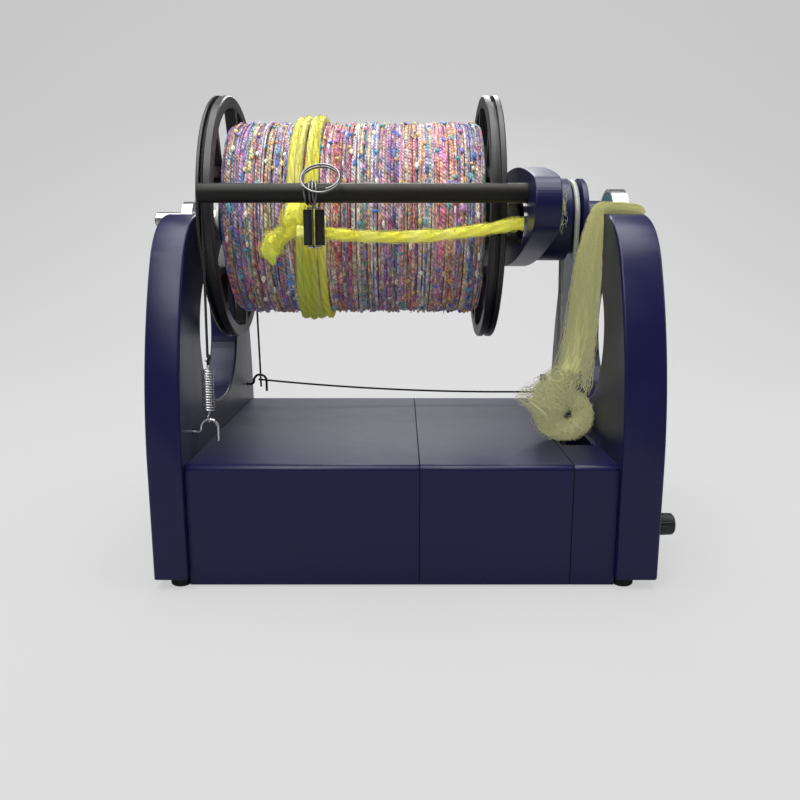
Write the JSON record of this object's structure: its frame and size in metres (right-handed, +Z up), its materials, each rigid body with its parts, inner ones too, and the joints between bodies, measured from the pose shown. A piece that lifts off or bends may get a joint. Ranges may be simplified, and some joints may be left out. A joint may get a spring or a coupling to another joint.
{
  "type": "electric spinning wheel",
  "caption": "Electric spinning wheel: belt-driven flyer around a yarn-filled bobbin, between two arched side plates on a box base, with brake cord, speed knob and sliding yarn hook.",
  "frame": {"origin": "centre of the overall length and depth, on the plane the rubber feet stand on", "axes": "+X along the flyer axis towards the orifice, +Y away from the viewer of the picture, +Z up"},
  "size_m": [0.388, 0.2786, 0.3455],
  "materials": {
    "navy_plastic": "satin, printed lines",
    "black_plastic": "matt",
    "rocker_plastic": "gloss",
    "zinc_steel": "zinc plated",
    "bright_wire": "bright drawn wire",
    "bearing_steel": "ground",
    "motor_can": "satin",
    "pulley_alloy": "turned",
    "liner_metal": "polished",
    "seal_rubber": "satin",
    "foot_rubber": "matt",
    "belt_urethane": "translucent",
    "carbon_rod": "satin carbon tube",
    "board_green": "lacquered",
    "post_brass": "turned",
    "pot_blue": "moulded",
    "bush_plastic": "natural",
    "cord_cotton": "braided",
    "art_yarn": "mixed colours, spun",
    "yellow_yarn": "thick and thin, spun",
    "combed_fibre": "combed, loose"
  },
  "bodies": {
    "frame": {"left_side_plate": "navy_plastic", "right_side_plate": "navy_plastic", "base_left_shell": "navy_plastic", "base_right_shell": "navy_plastic", "belt_bay": "navy_plastic", "base_cover": "black_plastic", "cover_screws": "zinc_steel", "plate_bolts": "zinc_steel", "rubber_feet": "foot_rubber", "front_cup_hook": "bright_wire", "rear_cup_hook": "bright_wire", "brake_spring": "bright_wire", "brake_cord": "cord_cotton", "drive_belt": "belt_urethane", "motor": "motor_can", "motor_mount": "zinc_steel", "motor_screws": "zinc_steel", "control_board": "board_green", "board_posts": "post_brass", "speed_pot": "pot_blue", "pot_nut": "zinc_steel", "switch_body": "black_plastic", "power_inlet": "black_plastic", "tail_bearing_outer": "bearing_steel", "tail_bearing_balls": "bearing_steel", "orifice_bearing_outer": "bearing_steel", "orifice_bearing_balls": "bearing_steel", "tail_bearing_shields": "bearing_steel", "orifice_bearing_seals": "seal_rubber", "fibre_roving": "combed_fibre", "fibre_tuft": "combed_fibre"},
    "flyer": {"flyer_yoke": "navy_plastic", "flyer_whorl": "navy_plastic", "whorl_screws": "zinc_steel", "mouth_liner": "liner_metal", "flyer_arm_near": "carbon_rod", "flyer_arm_far": "carbon_rod", "bobbin_shaft": "bearing_steel", "thrust_collars": "zinc_steel", "tail_bearing_inner": "bearing_steel", "orifice_bearing_inner": "bearing_steel", "leader_yarn": "yellow_yarn"},
    "hook": {"hook_wire": "bright_wire", "hook_frame": "bright_wire", "hook_sleeves": "black_plastic"},
    "bobbin": {"bobbin_barrel": "black_plastic", "bobbin_bushes": "bush_plastic", "brake_flange": "black_plastic", "front_flange": "black_plastic", "yarn_core": "art_yarn", "yarn_winding": "art_yarn", "yellow_winding": "yellow_yarn", "yarn_slub": "yellow_yarn"},
    "motor_rotor": {"motor_spindle": "bearing_steel", "motor_pulley": "pulley_alloy"},
    "knob": {"speed_knob": "black_plastic", "pot_shaft": "bearing_steel"},
    "peg": {"tension_peg": "black_plastic"},
    "rocker": {"switch_rocker": "rocker_plastic"}
  },
  "joints": [
    {"name": "flyer_spin", "type": "hinge", "parent": "frame", "child": "flyer", "pos_m": [0, 0, 0.254], "axis": [1, 0, 0], "continuous": true},
    {"name": "bobbin_spin", "type": "hinge", "parent": "flyer", "child": "bobbin", "pos_m": [0, 0, 0.254], "axis": [1, 0, 0], "continuous": true},
    {"name": "hook_slide", "type": "slide", "parent": "flyer", "child": "hook", "axis": [1, 0, 0], "range_m": [-0.065, 0.115]},
    {"name": "motor_spin", "type": "hinge", "parent": "frame", "child": "motor_rotor", "pos_m": [0, 0, 0.042], "axis": [1, 0, 0], "continuous": true},
    {"name": "speed_turn", "type": "hinge", "parent": "frame", "child": "knob", "pos_m": [0.185, -0.1, 0.038], "axis": [1, 0, 0], "range_deg": [0, 300]},
    {"name": "tension_turn", "type": "hinge", "parent": "frame", "child": "peg", "pos_m": [0.134, 0.092, 0.09], "axis": [0, 0, 1], "range_deg": [-180, 180]},
    {"name": "switch_rock", "type": "hinge", "parent": "frame", "child": "rocker", "pos_m": [0.1765, -0.058, 0.038], "axis": [0, 0, 1], "range_deg": [-10, 10]}
  ],
  "couplings": [
    {"joint": "motor_spin", "follows": "flyer_spin", "ratio": 2.85}
  ]
}
